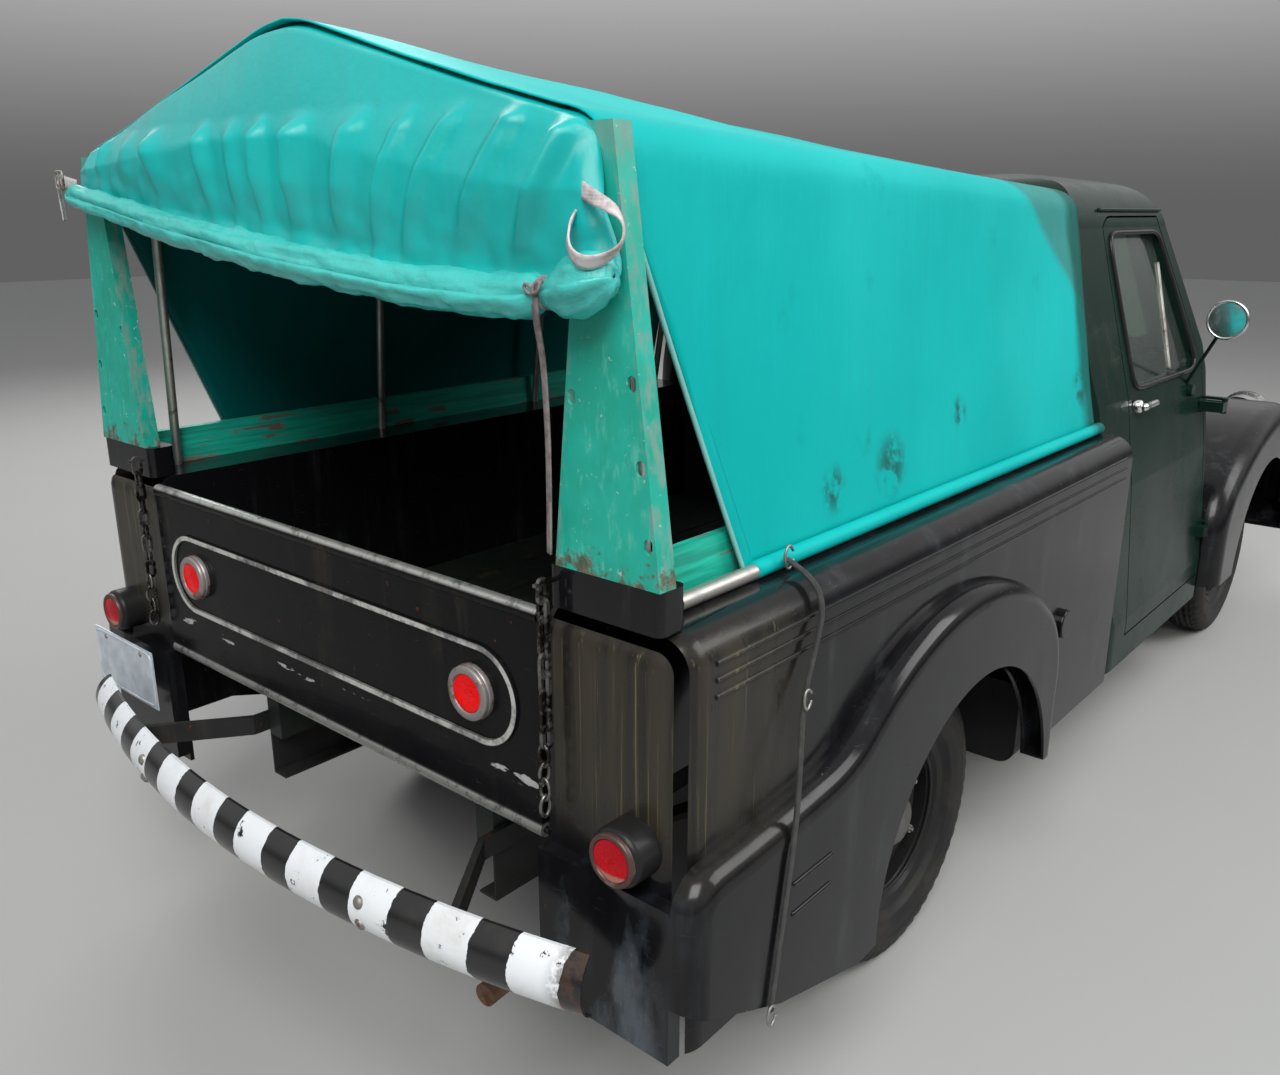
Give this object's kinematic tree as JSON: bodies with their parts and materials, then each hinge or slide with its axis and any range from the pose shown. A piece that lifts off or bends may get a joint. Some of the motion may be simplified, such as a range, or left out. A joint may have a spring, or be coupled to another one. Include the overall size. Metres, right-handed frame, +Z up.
{
  "type": "canvas-topped pickup truck",
  "caption": "Old light pickup truck with a canvas tilt over its double-walled bed, rolled rear curtain, rounded fenders, opening doors, bonnet and tailgate.",
  "frame": {"origin": "on the ground under the middle of the truck's overall length and width", "axes": "+X forward, +Y to the truck's left, +Z up"},
  "size_m": [4.8848, 2.034, 2.0646],
  "materials": {
    "black_paint": "weathered black gloss paint",
    "cab_paint": "dark green-black paint, worn",
    "bed_steel": "worn dark painted steel",
    "frame_paint": "matt chassis black",
    "cast_parts": "oily cast iron",
    "exhaust_steel": "brown rusted steel",
    "spring_steel": "dark spring steel",
    "pole_steel": "dull galvanised tube",
    "chain_steel": "dull rusted chain",
    "bumper_paint": "white and black bands, chipped",
    "green_paint": "weathered green paint",
    "green_wood": "weathered green painted boards",
    "canvas": "coated teal canvas",
    "strap_webbing": "dark webbing",
    "seat_leather": "worn brown leathercloth",
    "tyre_rubber": "matt black rubber",
    "wheel_paint": "black painted steel",
    "wheel_rim_plastic": "black moulded rim",
    "glass": "clear sheet glass",
    "mirror_glass": "round mirror in a metal back",
    "lamp_chrome": "chromed lamp bezel",
    "red_lens": "faded red lens",
    "plate_blank": "blank white plate"
  },
  "bodies": {
    "root": {"bed_floor": "bed_steel", "bed_front_wall": "bed_steel", "bed_side_left": "black_paint", "bed_side_right": "black_paint", "bumper_arms": "frame_paint", "cab": "cab_paint", "cab_glass": "glass", "canvas": "canvas", "chains": "chain_steel", "cross_members": "frame_paint", "curtain": "canvas", "dashboard": "cab_paint", "drive_shaft": "frame_paint", "engine": "cast_parts", "exhaust": "exhaust_steel", "frame": "frame_paint", "front_aprons": "black_paint", "front_axle": "frame_paint", "front_bumper": "bumper_paint", "front_fender_left": "black_paint", "front_fender_right": "black_paint", "fuel_tank": "frame_paint", "headlamps": "lamp_chrome", "hem_poles": "pole_steel", "hem_strap": "strap_webbing", "licence_plate": "plate_blank", "nose": "cab_paint", "rear_axle": "cast_parts", "rear_bumper": "bumper_paint", "rear_fender_left": "black_paint", "rear_fender_right": "black_paint", "seat": "seat_leather", "side_boards": "green_wood", "springs": "spring_steel", "steering_column": "frame_paint", "tail_lamps": "red_lens", "tilt_bows": "pole_steel", "tilt_posts": "green_paint"},
    "tailgate": {"tailgate": "black_paint", "reflectors": "red_lens"},
    "bonnet": {"bonnet": "cab_paint"},
    "steering_wheel": {"steering_wheel": "wheel_rim_plastic"},
    "door_left": {"door_left": "cab_paint", "door_glass_left": "glass", "mirror_left": "mirror_glass"},
    "knuckle_left": {"knuckle_left": "cast_parts"},
    "wheel_front_left": {"wheel_front_left": "wheel_paint", "tyre_front_left": "tyre_rubber"},
    "wheel_rear_left": {"wheel_rear_left": "wheel_paint", "tyre_rear_left": "tyre_rubber"},
    "door_right": {"door_right": "cab_paint", "door_glass_right": "glass", "mirror_right": "mirror_glass"},
    "knuckle_right": {"knuckle_right": "cast_parts"},
    "wheel_front_right": {"wheel_front_right": "wheel_paint", "tyre_front_right": "tyre_rubber"},
    "wheel_rear_right": {"wheel_rear_right": "wheel_paint", "tyre_rear_right": "tyre_rubber"}
  },
  "joints": [
    {"name": "steer_left", "type": "hinge", "parent": "root", "child": "knuckle_left", "pos_m": [1.6725, 0.645, 0.347], "axis": [0, 0, 1], "range_deg": [-30, 30]},
    {"name": "steer_right", "type": "hinge", "parent": "root", "child": "knuckle_right", "pos_m": [1.6725, -0.645, 0.347], "axis": [0, 0, 1], "range_deg": [-30, 30]},
    {"name": "steering_wheel_turn", "type": "hinge", "parent": "root", "child": "steering_wheel", "pos_m": [0.7025, 0.36, 1.05], "axis": [-0.6983, 0, 0.7158], "range_deg": [-360, 360]},
    {"name": "door_left_hinge", "type": "hinge", "parent": "root", "child": "door_left", "pos_m": [0.9745, 0.908, 0.85], "axis": [0, 0, -1], "range_deg": [0, 65]},
    {"name": "door_right_hinge", "type": "hinge", "parent": "root", "child": "door_right", "pos_m": [0.9745, -0.908, 0.85], "axis": [0, 0, 1], "range_deg": [0, 65]},
    {"name": "bonnet_hinge", "type": "hinge", "parent": "root", "child": "bonnet", "pos_m": [1.1245, 0, 1.246], "axis": [0, -1, 0], "range_deg": [0, 45]},
    {"name": "tailgate_hinge", "type": "hinge", "parent": "root", "child": "tailgate", "pos_m": [-2.1835, 0, 0.72], "axis": [0, -1, 0], "range_deg": [0, 90]},
    {"name": "wheel_front_left_spin", "type": "hinge", "parent": "knuckle_left", "child": "wheel_front_left", "pos_m": [1.6725, 0.765, 0.347], "axis": [0, 1, 0], "continuous": true},
    {"name": "wheel_rear_left_spin", "type": "hinge", "parent": "root", "child": "wheel_rear_left", "pos_m": [-1.1875, 0.765, 0.347], "axis": [0, 1, 0], "continuous": true},
    {"name": "wheel_front_right_spin", "type": "hinge", "parent": "knuckle_right", "child": "wheel_front_right", "pos_m": [1.6725, -0.765, 0.347], "axis": [0, 1, 0], "continuous": true},
    {"name": "wheel_rear_right_spin", "type": "hinge", "parent": "root", "child": "wheel_rear_right", "pos_m": [-1.1875, -0.765, 0.347], "axis": [0, 1, 0], "continuous": true}
  ],
  "couplings": [
    {"joint": "steer_right", "follows": "steer_left", "ratio": 1},
    {"joint": "steering_wheel_turn", "follows": "steer_left", "ratio": 12}
  ]
}
